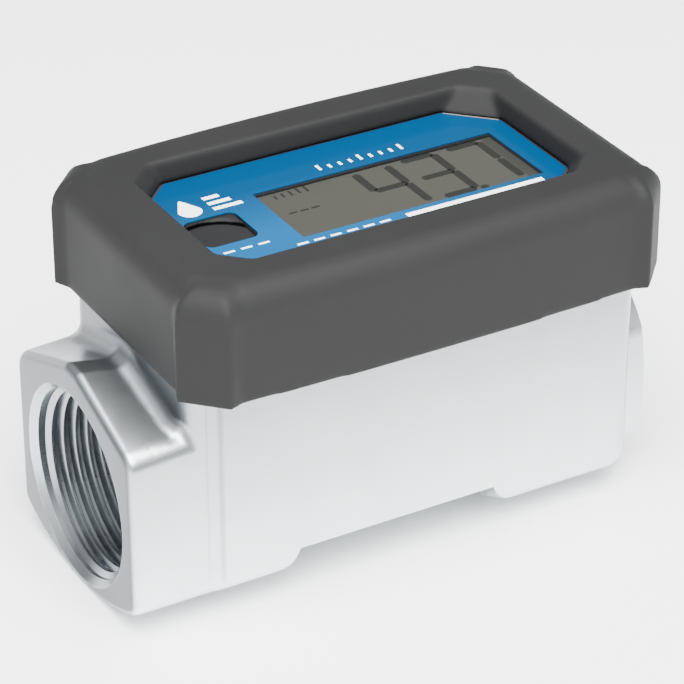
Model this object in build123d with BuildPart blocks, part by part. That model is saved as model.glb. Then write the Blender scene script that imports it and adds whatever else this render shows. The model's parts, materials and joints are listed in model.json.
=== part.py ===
from build123d import *
import os
from math import acos, atan, cos, degrees, radians, sin, sqrt, tan

# In-line turbine fuel meter with a digital display, in millimetres.
# X runs along the flow axis from the inlet to the outlet, Z is up, and the viewer stands at -Y.
# The origin is on the bore axis, midway between the two port faces.

os.makedirs("parts", exist_ok=True)

# Body casting
overall_length = 101.6
inlet_flange_length = 10.6
outlet_boss_length = 3.3
block_half_width = 22.2
block_top = 25.4
block_corner_radius = 5.5
foot_depth = 19.25
foot_crown_radius = 45.0
foot_land = 0.2
foot_edge_radius = 3.0
inlet_foot_length = 26.0
outlet_foot_length = 25.0
arch_rise = 3.1
arch_end_radius = 5.0
flange_half_width = 21.4
flange_overlap = 4.5
flange_split = 9.0
flange_ridge_half = 2.0
flange_ridge_front = 22.9
flange_ridge_back = 19.9
flange_shoulder_front = 15.3
flange_shoulder_back = 17.0
flange_ridge_radius = 3.0
flange_corner_radius = 4.0
flange_edge_radius = 1.4
flange_root_radius = 3.0
boss_radius = 20.8
boss_edge = 0.6

# Ports and bore
thread_radius = 16.6
thread_depth = 18.0
port_countersink = 1.15
seat_ledge = 2.2
support_length = 13.0
flow_radius = 12.0
ring_groove_depth = 0.8
ring_groove_width = 1.2
ring_groove_shoulder = 3.15

# Turbine
running_gap = 0.3
fit_gap = 0.05
support_hub_radius = 4.0
support_vanes = 4
vane_thickness = 1.4
vane_inset = 1.5
nose_length = 5.0
nose_tip_radius = 1.2
rotor_hub_radius = 4.0
rotor_hub_half = 5.0
rotor_hub_edge = 0.5
rotor_blades = 6
blade_half_length = 4.0
blade_sections = 3
blade_tip_angle = 38.0
blade_root_thickness = 1.3
blade_tip_thickness = 0.9
shaft_radius = 0.8
shaft_edge = 0.2
shaft_end_play = 0.3
bearing_radius = 2.0
bearing_length = 4.0
bearing_bore_gap = 0.05
thrust_gap = 0.4
magnet_count = 2
magnet_radius = 0.9
magnet_length = 6.0
magnet_circle = 2.4
retaining_ring_thickness = 1.0
retaining_ring_width = 1.7
retaining_ring_opening = 50.0
ring_lug_radius = 1.6
ring_lug_hole = 0.7

# Cover
cover_end_overhang = 1.1
cover_end_bump = 1.2
cover_side = 28.1
cover_side_bump = 1.1
cover_bow = 1.2
cover_bump_from_side = 6.7
cover_bump_from_end = 6.3
cover_flare = 2.8
cover_height = 20.2
cover_corner_cut = 7.2
cover_roll = 5.0
bump_roll = 5.0
bump_drop = 0.3
cover_wall = 2.2
cavity_corner_cut = 5.5
cover_lip_height = 1.2
cover_lip_width = 1.2
cover_clearance = 0.2
rim_end = 10.65
rim_side = 9.4
rim_corner_cut = 4.0
opening_draft = 0.65
opening_corner_cut = 7.3
rim_edge_radius = 0.8

# Face of the meter
face_depth = 4.1
label_thickness = 0.2
label_gap = 0.15
face_plate_thickness = 1.7
window_from_left = 18.7
window_from_right = 4.5
window_from_back = 10.8
window_from_front = 7.8
window_recess = 0.55
window_ledge = 1.6
window_ledge_height = 0.7
window_fit = 0.1
button_size = 9.2
button_corner = 1.3
button_from_left = 3.6
button_over_window = 0.25
button_gap = 0.3
button_below_face = 0.15
button_dish_depth = 0.9
button_dish_radius = 12.0
button_flange = 1.0
button_flange_thickness = 1.0
button_rest_gap = 0.3
button_travel = 0.6
button_stem_radius = 1.6
dome_radius = 3.2
dome_pressed_height = 0.3
dome_thickness = 0.25

# Electronics
tray_pad_inset = 2.5
tray_pad_height = 1.4
tray_floor = 2.0
tray_wall = 1.8
board_end_gap = 3.75
board_side_gap = 2.9
board_corner = 4.0
board_thickness = 1.6
board_below_face = 6.9
board_screw_from_end = 4.0
board_screw_from_side = 3.5
post_radius = 2.6
small_screw_radius = 1.0
small_head_radius = 1.9
small_head_height = 1.2
small_screw_reach = 3.2
small_slot_width = 0.5
tray_screw_from_end = 5.85
tray_screw_from_side = 10.2
tray_screw_radius = 1.25
tray_head_radius = 2.5
tray_head_height = 1.8
tray_screw_reach = 7.0
tray_socket_radius = 1.5
tray_socket_depth = 1.1
screw_end_gap = 0.3
glass_margin = 2.75
glass_thickness = 2.2
glass_gap = 0.1
strip_width = 1.8
strip_inset = 1.8
cell_radius = 10.0
cell_thickness = 3.2
cell_edge = 0.3
cell_to_coil = 1.45
clip_thickness = 0.3
clip_width = 6.0
clip_foot = 2.4
coil_pocket_radius = 5.4
coil_roof = 2.2
coil_flange_radius = 4.9
coil_flange_thickness = 0.8
coil_wire_radius = 4.3
coil_spool_radius = 2.4
coil_core_radius = 1.4
coil_length = 10.6
pin_radius = 0.35
pin_spacing = 6.0
seal_inner_radius = 7.4
seal_width = 2.0
seal_height = 1.2
chip_height = 0.9
chip_length = 6.0
chip_width = 4.0
chip_from_end = 5.25
chip_gap = 0.8
controller_size = 7.0

# Places worked out from the sizes above
port_face = overall_length / 2
block_left = -port_face + inlet_flange_length
block_right = port_face - outlet_boss_length
block_middle = (block_left + block_right) / 2
block_half_length = (block_right - block_left) / 2
crown_centre = foot_crown_radius - foot_depth
cover_bottom = block_top
rim_top = cover_bottom + cover_height
cover_half_length = block_half_length + cover_end_overhang
opening_half_length = cover_half_length + cover_end_bump - rim_end
opening_half_width = cover_side - rim_side
face_top = rim_top - face_depth
plate_top = face_top - label_thickness
plate_bottom = plate_top - face_plate_thickness
face_half_length = opening_half_length - opening_draft
face_half_width = opening_half_width - opening_draft
face_left = block_middle - face_half_length
face_right = block_middle + face_half_length
cavity_half_length = cover_half_length - cover_wall
cavity_half_width = cover_side - cover_wall
tray_half_length = cavity_half_length - cover_clearance
tray_half_width = cavity_half_width - cover_clearance
tray_corner_cut = cavity_corner_cut
tray_screw_x = block_half_length - tray_screw_from_end
tray_screw_y = block_half_width - tray_screw_from_side
board_half_length = tray_half_length - tray_wall - board_end_gap
board_half_width = tray_half_width - tray_wall - board_side_gap
board_screw_x = board_half_length - board_screw_from_end
board_screw_y = board_half_width - board_screw_from_side
cell_spacing = 2 * (block_middle + coil_flange_radius + cell_to_coil + cell_radius)
tray_flange_bottom = cover_bottom + tray_pad_height
tray_floor_top = tray_flange_bottom + tray_floor
board_top = face_top - board_below_face
board_bottom = board_top - board_thickness
seat_radius = flow_radius + seat_ledge
thread_end = port_face - thread_depth
thread_step = thread_radius - seat_radius
ring_groove_start = thread_end - thread_step - ring_groove_shoulder - ring_groove_width
seat_end = ring_groove_start - fit_gap
seat_shoulder = seat_end - support_length
hub_face = rotor_hub_half + thrust_gap
shaft_half_length = hub_face + bearing_length
coil_pocket_floor = flow_radius + coil_roof
window_length = 2 * face_half_length - window_from_left - window_from_right
window_width = 2 * face_half_width - window_from_back - window_from_front
window_x = face_right - window_from_right - window_length / 2
window_y = face_half_width - window_from_back - window_width / 2
button_x = face_left + button_from_left + button_size / 2
button_y = window_y + button_over_window
key_hole_size = button_size + 2 * button_gap
glass_length = window_length + 2 * glass_margin
glass_width = window_width + 2 * glass_margin
glass_top = plate_bottom - glass_gap
glass_bottom = glass_top - glass_thickness
dome_height = button_travel + dome_pressed_height
strip_inside = glass_width / 2 - strip_inset - strip_width / 2
chip_row = strip_inside - chip_gap - chip_width / 2
key_chip_spacing = 2 * (dome_radius + chip_gap) + chip_width


def across(x):
    # A sketch plane square to the flow axis, with the sketch's X along +Y and its Y up.
    return Plane((x, 0, 0), x_dir=(0, 1, 0), z_dir=(1, 0, 0))


def save(builder, name):
    builder.part.label = name
    export_step(builder.part, f"parts/{name}.step")


def crown_at(half_width):
    # Height of the crowned underside at a distance from the middle.
    return crown_centre - sqrt(foot_crown_radius**2 - half_width**2)


def crowned_section(x, half_width, top):
    # Straight sides and a flat top over the crowned underside.
    corner = crown_at(half_width)
    with BuildSketch(across(x)) as section:
        with BuildLine():
            Polyline((-half_width, corner), (-half_width, top), (half_width, top), (half_width, corner))
            ThreePointArc((half_width, corner), (0, -foot_depth), (-half_width, corner))
        make_face()
        fillet(section.vertices().group_by(Axis.Y)[0], foot_edge_radius)
    return section.sketch


def roof_section(x, ridge, shoulder):
    # The upper part of the wrench flange, with two sloping roof faces.
    side = flange_half_width
    with BuildSketch(across(x)) as section:
        with BuildLine():
            Polyline(
                (-side, flange_split),
                (-side, shoulder),
                (-flange_ridge_half, ridge),
                (flange_ridge_half, ridge),
                (side, shoulder),
                (side, flange_split),
                close=True,
            )
        make_face()
        fillet(section.vertices().group_by(Axis.Y)[1], flange_corner_radius)
        fillet(section.vertices().group_by(Axis.Y)[-1], flange_ridge_radius)
    return section.sketch


def octagon(z, half_length, half_width, cut):
    # A rectangle with four equal 45 degree corners, centred over the block.
    with BuildSketch(Plane.XY.offset(z)) as outline:
        with Locations((block_middle, 0)):
            Rectangle(2 * half_length, 2 * half_width)
        chamfer(outline.vertices(), cut)
    return outline.sketch


def rounded_block(z, half_length, half_width, corner):
    # A rectangle with rounded corners, centred over the block.
    with BuildSketch(Plane.XY.offset(z)) as outline:
        with Locations((block_middle, 0)):
            RectangleRounded(2 * half_length, 2 * half_width, corner)
    return outline.sketch


def bore_outline(side):
    # One half of the stepped bore, from the middle of the meter out to a port.
    port = side * port_face
    groove_end = ring_groove_start + ring_groove_width
    return [
        (0, 0),
        (0, flow_radius),
        (side * seat_shoulder, flow_radius),
        (side * seat_shoulder, seat_radius),
        (side * ring_groove_start, seat_radius),
        (side * ring_groove_start, seat_radius + ring_groove_depth),
        (side * groove_end, seat_radius + ring_groove_depth),
        (side * groove_end, seat_radius),
        (side * (thread_end - thread_step), seat_radius),
        (side * thread_end, thread_radius),
        (port - side * port_countersink, thread_radius),
        (port, thread_radius + port_countersink),
        (port, 0),
        (0, 0),
    ]


tray_screw_places = [
    (block_middle + i * tray_screw_x, j * tray_screw_y) for i in (-1, 1) for j in (-1, 1)
]
board_screw_places = [
    (block_middle + i * board_screw_x, j * board_screw_y) for i in (-1, 1) for j in (-1, 1)
]

# Body casting: block, crowned feet, wrench flange, outlet boss and stepped bore
with BuildPart() as meter_body:
    extrude(crowned_section(block_left, block_half_width, block_top), amount=block_right - block_left)
    fillet(meter_body.edges().filter_by(Axis.Z), block_corner_radius)
    # Wrench flange at the inlet, in a lower part and a roof that flattens towards the block
    flange_reach = inlet_flange_length + flange_overlap
    extrude(crowned_section(-port_face, flange_half_width, flange_split), amount=flange_reach)
    roof_front = roof_section(-port_face, flange_ridge_front, flange_shoulder_front)
    roof_back = roof_section(-port_face + flange_reach, flange_ridge_back, flange_shoulder_back)
    loft([roof_front, roof_back], ruled=True)
    # Round boss at the outlet, cut off by the crowned underside
    boss_reach = outlet_boss_length + flange_overlap
    with BuildSketch(across(port_face - boss_reach)):
        add(crowned_section(0, block_half_width, block_top))
        Circle(boss_radius, mode=Mode.INTERSECT)
    extrude(amount=boss_reach)
    # Soft edges at the ports, and a swept root where the flange runs into the block
    fillet(meter_body.faces().sort_by(Axis.X)[0].edges(), flange_edge_radius)
    fillet(meter_body.faces().sort_by(Axis.X)[-1].edges(), boss_edge)

    def at_root(edge):
        box = edge.bounding_box()
        lowest = crown_at(flange_half_width) + flange_edge_radius
        near_root = box.min.X > block_left - fit_gap and box.max.X < block_left + flange_overlap
        return near_root and box.min.Z > lowest and box.max.Z < flange_ridge_front

    fillet(meter_body.edges().filter_by(at_root), flange_root_radius)
    # The underside is arched up between the two feet, with rounded foot ends
    with BuildSketch(Plane.XZ):
        turn = degrees(acos(1 - arch_rise / arch_end_radius))
        run = arch_end_radius * sin(radians(turn))
        arch_start = -port_face + inlet_foot_length
        arch_end = block_right - outlet_foot_length
        arch_top = arch_rise - foot_depth
        below = -foot_depth - arch_rise
        with BuildLine():
            CenterArc((arch_start, arch_end_radius - foot_depth), arch_end_radius, -90, turn)
            Line((arch_start + run, arch_top), (arch_end - run, arch_top))
            CenterArc((arch_end, arch_end_radius - foot_depth), arch_end_radius, -90, -turn)
            Polyline(
                (arch_end, -foot_depth),
                (arch_end, below),
                (arch_start, below),
                (arch_start, -foot_depth),
            )
        make_face()
    revolve(axis=Axis((0, 0, crown_centre), (1, 0, 0)), mode=Mode.SUBTRACT)
    split(bisect_by=Plane.XY.offset(foot_land - foot_depth), keep=Keep.TOP)
    # Threaded ports, support seats, ring grooves and the rotor chamber between them
    with BuildSketch(Plane.XZ):
        for side in (-1, 1):
            with BuildLine():
                Polyline(*bore_outline(side))
            make_face()
    revolve(axis=Axis.X, mode=Mode.SUBTRACT)
    # Pickup pocket, seal groove and tapped holes in the top
    with BuildSketch(Plane.XY.offset(block_top)):
        Circle(coil_pocket_radius)
    extrude(amount=coil_pocket_floor - block_top, mode=Mode.SUBTRACT)
    with BuildSketch(Plane.XY.offset(block_top)):
        Circle(seal_inner_radius + seal_width)
        Circle(seal_inner_radius, mode=Mode.SUBTRACT)
    extrude(amount=-seal_height, mode=Mode.SUBTRACT)
    with BuildSketch(Plane.XY.offset(block_top)):
        with Locations(*tray_screw_places):
            Circle(tray_screw_radius + fit_gap)
    extrude(amount=-tray_screw_reach, mode=Mode.SUBTRACT)
save(meter_body, "meter_body")

# Straightening supports on both sides of the rotor: a ring, four vanes and a nosed hub
for side, name in ((-1, "inlet_support"), (1, "outlet_support")):
    with BuildPart() as support:
        with BuildSketch(across(side * seat_shoulder)):
            Circle(seat_radius - fit_gap)
            Circle(flow_radius, mode=Mode.SUBTRACT)
        extrude(amount=side * (seat_end - seat_shoulder))
        with BuildSketch(Plane.XZ):
            nose_start = seat_end - nose_length
            with BuildLine():
                Polyline(
                    (side * seat_end, nose_tip_radius),
                    (side * seat_end, 0),
                    (side * hub_face, 0),
                    (side * hub_face, support_hub_radius),
                    (side * nose_start, support_hub_radius),
                )
                TangentArc(
                    (side * nose_start, support_hub_radius),
                    (side * seat_end, nose_tip_radius),
                    tangent=(side, 0),
                )
            make_face()
        revolve(axis=Axis.X)
        vane_start = seat_shoulder + vane_inset
        with BuildSketch(across(side * vane_start)):
            vane_root = support_hub_radius - vane_thickness
            vane_reach = (seat_radius + flow_radius) / 2 - vane_root
            with PolarLocations(vane_root + vane_reach / 2, support_vanes, 180 / support_vanes):
                Rectangle(vane_reach, vane_thickness)
        extrude(amount=side * (nose_start - vane_start))
        # Bearing pocket, with end room for the shaft behind it
        with BuildSketch(across(side * hub_face)):
            Circle(bearing_radius + fit_gap)
        extrude(amount=side * bearing_length, mode=Mode.SUBTRACT)
        with BuildSketch(across(side * (hub_face + bearing_length))):
            Circle(shaft_radius + running_gap)
        extrude(amount=side * shaft_end_play, mode=Mode.SUBTRACT)
    save(support, name)

for side, name in ((-1, "inlet_bearing"), (1, "outlet_bearing")):
    with BuildPart() as bearing:
        with BuildSketch(across(side * hub_face)):
            Circle(bearing_radius)
            Circle(shaft_radius + bearing_bore_gap, mode=Mode.SUBTRACT)
        extrude(amount=side * bearing_length)
    save(bearing, name)

# Retaining rings that hold the supports against their shoulders
for side, name in ((-1, "inlet_retaining_ring"), (1, "outlet_retaining_ring")):
    with BuildPart() as retaining_ring:
        with BuildSketch(across(side * (ring_groove_start + fit_gap))):
            ring_outer = seat_radius + ring_groove_depth - fit_gap
            ring_inner = ring_outer - retaining_ring_width
            half_opening = radians(retaining_ring_opening / 2)
            Circle(ring_outer)
            Circle(ring_inner, mode=Mode.SUBTRACT)
            with BuildLine():
                reach = 2 * ring_outer
                mouth = (reach * sin(half_opening), reach * cos(half_opening))
                Polyline((0, 0), mouth, (-mouth[0], mouth[1]), close=True)
            make_face(mode=Mode.SUBTRACT)
            lug_place = (
                (ring_inner - ring_lug_hole) * sin(half_opening),
                (ring_inner - ring_lug_hole) * cos(half_opening),
            )
            with Locations(lug_place, (-lug_place[0], lug_place[1])):
                Circle(ring_lug_radius)
            with Locations(lug_place, (-lug_place[0], lug_place[1])):
                Circle(ring_lug_hole, mode=Mode.SUBTRACT)
        extrude(amount=side * retaining_ring_thickness)
    save(retaining_ring, name)

# One rotor blade, standing up from the hub, whose pitch angle grows with the radius
blade_tip_radius = flow_radius - running_gap
blade_root_radius = rotor_hub_radius - blade_root_thickness / 2
blade_over = blade_tip_radius + running_gap
with BuildPart() as blade:
    for step in range(blade_sections):
        share = step / (blade_sections - 1)
        radius = blade_root_radius + share * (blade_over - blade_root_radius)
        pitch_angle = atan(tan(radians(blade_tip_angle)) * radius / blade_tip_radius)
        thickness = blade_root_thickness + share * (blade_tip_thickness - blade_root_thickness)
        chord = 2 * blade_half_length / cos(pitch_angle)
        with BuildSketch(Plane.XY.offset(radius)):
            SlotOverall(chord, thickness, rotation=degrees(pitch_angle))
    loft()
    with BuildSketch(across(0)):
        Circle(blade_tip_radius)
    extrude(amount=2 * blade_half_length, both=True, mode=Mode.INTERSECT)

with BuildPart() as turbine_rotor:
    with BuildSketch(across(0)):
        Circle(rotor_hub_radius)
    extrude(amount=rotor_hub_half, both=True)
    chamfer(turbine_rotor.edges(), rotor_hub_edge)
    for index in range(rotor_blades):
        add(blade.part.rotate(Axis.X, index * 360 / rotor_blades))
    with BuildSketch(across(0)):
        Circle(shaft_radius + fit_gap)
    extrude(amount=rotor_hub_half, both=True, mode=Mode.SUBTRACT)
    with BuildSketch(across(rotor_hub_half)):
        with PolarLocations(magnet_circle, magnet_count):
            Circle(magnet_radius + fit_gap)
    extrude(amount=-magnet_length, mode=Mode.SUBTRACT)
save(turbine_rotor, "turbine_rotor")

with BuildPart() as rotor_shaft:
    with BuildSketch(across(0)):
        Circle(shaft_radius)
    extrude(amount=shaft_half_length, both=True)
    chamfer(rotor_shaft.edges(), shaft_edge)
save(rotor_shaft, "rotor_shaft")

with BuildPart() as rotor_magnets:
    with BuildSketch(across(rotor_hub_half)):
        with PolarLocations(magnet_circle, magnet_count):
            Circle(magnet_radius)
    extrude(amount=-magnet_length)
save(rotor_magnets, "rotor_magnets")

# One corner bumper of the cover, at the outlet end and the back
bumper_end = cover_half_length + cover_end_bump
bumper_side = cover_side + cover_side_bump
bumper_on_end = bumper_side - cover_bump_from_side
with BuildPart() as bumper:
    with BuildSketch(Plane.XY.offset(cover_bottom)):
        with BuildLine():
            Polyline(
                (cover_half_length, bumper_on_end - cover_flare),
                (bumper_end, bumper_on_end),
                (bumper_end - cover_bump_from_end, bumper_side),
                (bumper_end - cover_bump_from_end - cover_flare, cover_side),
                (opening_half_length, opening_half_width),
                close=True,
            )
        make_face()
    extrude(amount=cover_height - bump_drop)
    outward = bumper.faces().sort_by(Axis.Z)[-1].edges().sort_by(
        lambda edge: edge.center().X / bumper_end + edge.center().Y / bumper_side
    )[-3:]
    fillet(outward, bump_roll)

# Moulded cover: bowed long walls, rolled shoulders, bumper corners and a drafted, sunken opening
with BuildPart() as bezel_cover:
    with BuildSketch(Plane.XY.offset(cover_bottom)):
        end = cover_half_length
        cut = cover_corner_cut
        side = cover_side
        with BuildLine():
            Polyline((end - cut, -side), (end, cut - side), (end, side - cut), (end - cut, side))
            ThreePointArc((end - cut, side), (0, side + cover_bow), (cut - end, side))
            Polyline((cut - end, side), (-end, side - cut), (-end, cut - side), (cut - end, -side))
            ThreePointArc((cut - end, -side), (0, -side - cover_bow), (end - cut, -side))
        make_face()
    extrude(amount=cover_height)
    fillet(bezel_cover.faces().sort_by(Axis.Z)[-1].edges(), cover_roll)
    add(bumper.part)
    add(mirror(bumper.part, Plane.XZ, mode=Mode.PRIVATE))
    add(mirror(bumper.part, Plane.YZ, mode=Mode.PRIVATE))
    add(bumper.part.rotate(Axis.Z, 180))
    add(bezel_cover.part.moved(Location((block_middle, 0, 0))), mode=Mode.REPLACE)
    # Hollow below the face, with a lip that hooks under the tray
    cavity_bottom = cover_bottom + cover_lip_height
    extrude(
        octagon(cavity_bottom, cavity_half_length, cavity_half_width, cavity_corner_cut),
        amount=plate_top - cavity_bottom,
        mode=Mode.SUBTRACT,
    )
    lip_half_length = cavity_half_length - cover_lip_width
    lip_half_width = cavity_half_width - cover_lip_width
    extrude(
        octagon(cover_bottom, lip_half_length, lip_half_width, cavity_corner_cut),
        amount=cover_lip_height,
        mode=Mode.SUBTRACT,
    )
    # The opening narrows downwards, and its corners grow wider at the face
    face_edge = octagon(plate_top, face_half_length, face_half_width, opening_corner_cut)
    rim_edge = octagon(rim_top, opening_half_length, opening_half_width, rim_corner_cut)
    loft([face_edge, rim_edge], ruled=True, mode=Mode.SUBTRACT)
    rim = bezel_cover.faces().sort_by(Axis.Z)[-1].inner_wires()[0]
    fillet(rim.edges(), rim_edge_radius)
save(bezel_cover, "bezel_cover")

# Tray of the electronics: pad on the casting, flange, side wall, board posts and floor holes
with BuildPart() as electronics_tray:
    pad_corner = block_corner_radius - tray_pad_inset
    pad_half_length = lip_half_length - cover_clearance
    pad_half_width = block_half_width - tray_pad_inset
    extrude(rounded_block(block_top, pad_half_length, pad_half_width, pad_corner), amount=tray_pad_height)
    extrude(
        octagon(tray_flange_bottom, tray_half_length, tray_half_width, tray_corner_cut),
        amount=plate_bottom - tray_flange_bottom,
    )
    extrude(
        octagon(tray_floor_top, tray_half_length - tray_wall, tray_half_width - tray_wall, tray_corner_cut),
        amount=plate_bottom - tray_floor_top,
        mode=Mode.SUBTRACT,
    )
    with BuildSketch(Plane.XY.offset(tray_floor_top)):
        with Locations(*board_screw_places):
            Circle(post_radius)
    extrude(amount=board_bottom - tray_floor_top)
    with BuildSketch(Plane.XY.offset(board_bottom)):
        with Locations(*board_screw_places):
            Circle(small_screw_radius + fit_gap)
    extrude(amount=-small_screw_reach, mode=Mode.SUBTRACT)
    with BuildSketch(Plane.XY.offset(block_top)):
        Circle(coil_pocket_radius)
        with Locations(*tray_screw_places):
            Circle(tray_screw_radius + fit_gap)
    extrude(amount=tray_floor_top - block_top, mode=Mode.SUBTRACT)
save(electronics_tray, "electronics_tray")

with BuildPart() as tray_screws:
    with BuildSketch(Plane.XY.offset(tray_floor_top)):
        with Locations(*tray_screw_places):
            Circle(tray_head_radius)
    extrude(amount=tray_head_height)
    fillet(tray_screws.edges().group_by(Axis.Z)[-1], tray_head_height / 2)
    with BuildSketch(Plane.XY.offset(tray_floor_top + tray_head_height)):
        with Locations(*tray_screw_places):
            RegularPolygon(tray_socket_radius, 6)
    extrude(amount=-tray_socket_depth, mode=Mode.SUBTRACT)
    with BuildSketch(Plane.XY.offset(tray_floor_top)):
        with Locations(*tray_screw_places):
            Circle(tray_screw_radius)
    extrude(amount=block_top - tray_screw_reach + screw_end_gap - tray_floor_top)
save(tray_screws, "tray_screws")

with BuildPart() as housing_seal:
    with BuildSketch(Plane.XY.offset(block_top)):
        Circle(seal_inner_radius + seal_width - fit_gap)
        Circle(seal_inner_radius + fit_gap, mode=Mode.SUBTRACT)
    extrude(amount=-seal_height)
save(housing_seal, "housing_seal")

# Face plate under the label, with a hole for the key and a stepped hole for the window
with BuildPart() as face_plate:
    extrude(
        octagon(plate_bottom, tray_half_length, tray_half_width, tray_corner_cut),
        amount=face_plate_thickness,
    )
    with BuildSketch(Plane.XY.offset(plate_bottom)):
        with Locations((window_x, window_y)):
            Rectangle(window_length, window_width)
        with Locations((button_x, button_y)):
            RectangleRounded(key_hole_size, key_hole_size, button_corner + button_gap)
    extrude(amount=face_plate_thickness, mode=Mode.SUBTRACT)
    with BuildSketch(Plane.XY.offset(plate_bottom)):
        with Locations((window_x, window_y)):
            Rectangle(window_length + 2 * window_ledge, window_width + 2 * window_ledge)
    extrude(amount=window_ledge_height, mode=Mode.SUBTRACT)
save(face_plate, "face_plate")

with BuildPart() as face_label:
    extrude(
        octagon(plate_top, face_half_length - label_gap, face_half_width - label_gap, opening_corner_cut),
        amount=label_thickness,
    )
    with BuildSketch(Plane.XY.offset(plate_top)):
        with Locations((window_x, window_y)):
            Rectangle(window_length, window_width)
        with Locations((button_x, button_y)):
            RectangleRounded(key_hole_size, key_hole_size, button_corner + button_gap)
    extrude(amount=label_thickness, mode=Mode.SUBTRACT)
save(face_label, "face_label")

with BuildPart() as display_window:
    with BuildSketch(Plane.XY.offset(plate_bottom)):
        with Locations((window_x, window_y)):
            ledge_reach = 2 * window_ledge - 2 * window_fit
            Rectangle(window_length + ledge_reach, window_width + ledge_reach)
    extrude(amount=window_ledge_height)
    with BuildSketch(Plane.XY.offset(plate_bottom + window_ledge_height)):
        with Locations((window_x, window_y)):
            Rectangle(window_length - 2 * window_fit, window_width - 2 * window_fit)
    extrude(amount=face_top - window_recess - plate_bottom - window_ledge_height)
save(display_window, "display_window")

with BuildPart() as lcd_glass:
    with BuildSketch(Plane.XY.offset(glass_top)):
        with Locations((window_x, window_y)):
            Rectangle(glass_length, glass_width)
    extrude(amount=-glass_thickness)
save(lcd_glass, "lcd_glass")

with BuildPart() as lcd_connector_strips:
    with BuildSketch(Plane.XY.offset(board_top)):
        with Locations((window_x, window_y)):
            with GridLocations(0, glass_width - 2 * strip_inset, 1, 2):
                Rectangle(window_length, strip_width)
    extrude(amount=glass_bottom - board_top)
save(lcd_connector_strips, "lcd_connector_strips")

# Electronics board with its screws, chips, coin cells and clips
with BuildPart() as circuit_board:
    extrude(
        octagon(board_bottom, board_half_length, board_half_width, board_corner),
        amount=board_thickness,
    )
    with BuildSketch(Plane.XY.offset(board_bottom)):
        with Locations(*board_screw_places):
            Circle(small_screw_radius + 2 * fit_gap)
        with GridLocations(pin_spacing, 0, 2, 1):
            Circle(pin_radius + fit_gap)
    extrude(amount=board_thickness, mode=Mode.SUBTRACT)
save(circuit_board, "circuit_board")

with BuildPart() as board_screws:
    with BuildSketch(Plane.XY.offset(board_top)):
        with Locations(*board_screw_places):
            Circle(small_head_radius)
    extrude(amount=small_head_height)
    fillet(board_screws.edges().group_by(Axis.Z)[-1], small_head_height / 2)
    with BuildSketch(Plane.XY.offset(board_top + small_head_height)):
        with Locations(*board_screw_places):
            Rectangle(2 * small_screw_radius, small_slot_width)
            Rectangle(small_slot_width, 2 * small_screw_radius)
    extrude(amount=-small_slot_width, mode=Mode.SUBTRACT)
    with BuildSketch(Plane.XY.offset(board_top)):
        with Locations(*board_screw_places):
            Circle(small_screw_radius)
    extrude(amount=board_bottom - small_screw_reach + screw_end_gap - board_top)
save(board_screws, "board_screws")

with BuildPart() as board_chips:
    with BuildSketch(Plane.XY.offset(board_top)):
        with Locations((window_x, window_y)):
            Rectangle(controller_size, controller_size)
            with Locations((0, -chip_row)):
                with GridLocations(window_length - 2 * chip_from_end, 0, 2, 1):
                    Rectangle(chip_length, chip_width)
        with Locations((button_x, button_y)):
            with GridLocations(0, key_chip_spacing, 1, 2):
                Rectangle(chip_width, chip_width)
    extrude(amount=chip_height)
save(board_chips, "board_chips")

cell_bottom = board_bottom - cell_thickness
with BuildPart() as battery_cells:
    with BuildSketch(Plane.XY.offset(cell_bottom)):
        with Locations((block_middle, 0)):
            with GridLocations(cell_spacing, 0, 2, 1):
                Circle(cell_radius)
    extrude(amount=cell_thickness)
    chamfer(battery_cells.edges().group_by(Axis.Z)[0], cell_edge)
save(battery_cells, "battery_cells")

with BuildPart() as battery_clips:
    clip_inside = cell_radius + fit_gap
    clip_outside = clip_inside + clip_thickness
    for index in (-1, 1):
        with BuildSketch(across(block_middle + index * cell_spacing / 2)):
            with BuildLine():
                Polyline(
                    (-clip_outside - clip_foot, board_bottom),
                    (-clip_inside, board_bottom),
                    (-clip_inside, cell_bottom),
                    (clip_inside, cell_bottom),
                    (clip_inside, board_bottom),
                    (clip_outside + clip_foot, board_bottom),
                    (clip_outside + clip_foot, board_bottom - clip_thickness),
                    (clip_outside, board_bottom - clip_thickness),
                    (clip_outside, cell_bottom - clip_thickness),
                    (-clip_outside, cell_bottom - clip_thickness),
                    (-clip_outside, board_bottom - clip_thickness),
                    (-clip_outside - clip_foot, board_bottom - clip_thickness),
                    close=True,
                )
            make_face()
        extrude(amount=clip_width / 2, both=True)
save(battery_clips, "battery_clips")

# Pickup coil that senses the rotor magnets through the roof of the bore
coil_top = coil_pocket_floor + coil_length
with BuildPart() as coil_bobbin:
    with BuildSketch(Plane.XY.offset(coil_pocket_floor)):
        Circle(coil_spool_radius)
    extrude(amount=coil_length)
    with BuildSketch(Plane.XY.offset(coil_pocket_floor)):
        Circle(coil_flange_radius)
    extrude(amount=coil_flange_thickness)
    with BuildSketch(Plane.XY.offset(coil_top)):
        Circle(coil_flange_radius)
    extrude(amount=-coil_flange_thickness)
    with BuildSketch(Plane.XY.offset(coil_pocket_floor)):
        Circle(coil_core_radius + fit_gap)
    extrude(amount=coil_length, mode=Mode.SUBTRACT)
    with BuildSketch(Plane.XY.offset(coil_top)):
        with GridLocations(pin_spacing, 0, 2, 1):
            Circle(pin_radius + fit_gap)
    extrude(amount=-coil_flange_thickness, mode=Mode.SUBTRACT)
save(coil_bobbin, "coil_bobbin")

with BuildPart() as coil_winding:
    with BuildSketch(Plane.XY.offset(coil_pocket_floor + coil_flange_thickness)):
        Circle(coil_wire_radius)
        Circle(coil_spool_radius + fit_gap, mode=Mode.SUBTRACT)
    extrude(amount=coil_length - 2 * coil_flange_thickness)
save(coil_winding, "coil_winding")

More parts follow.
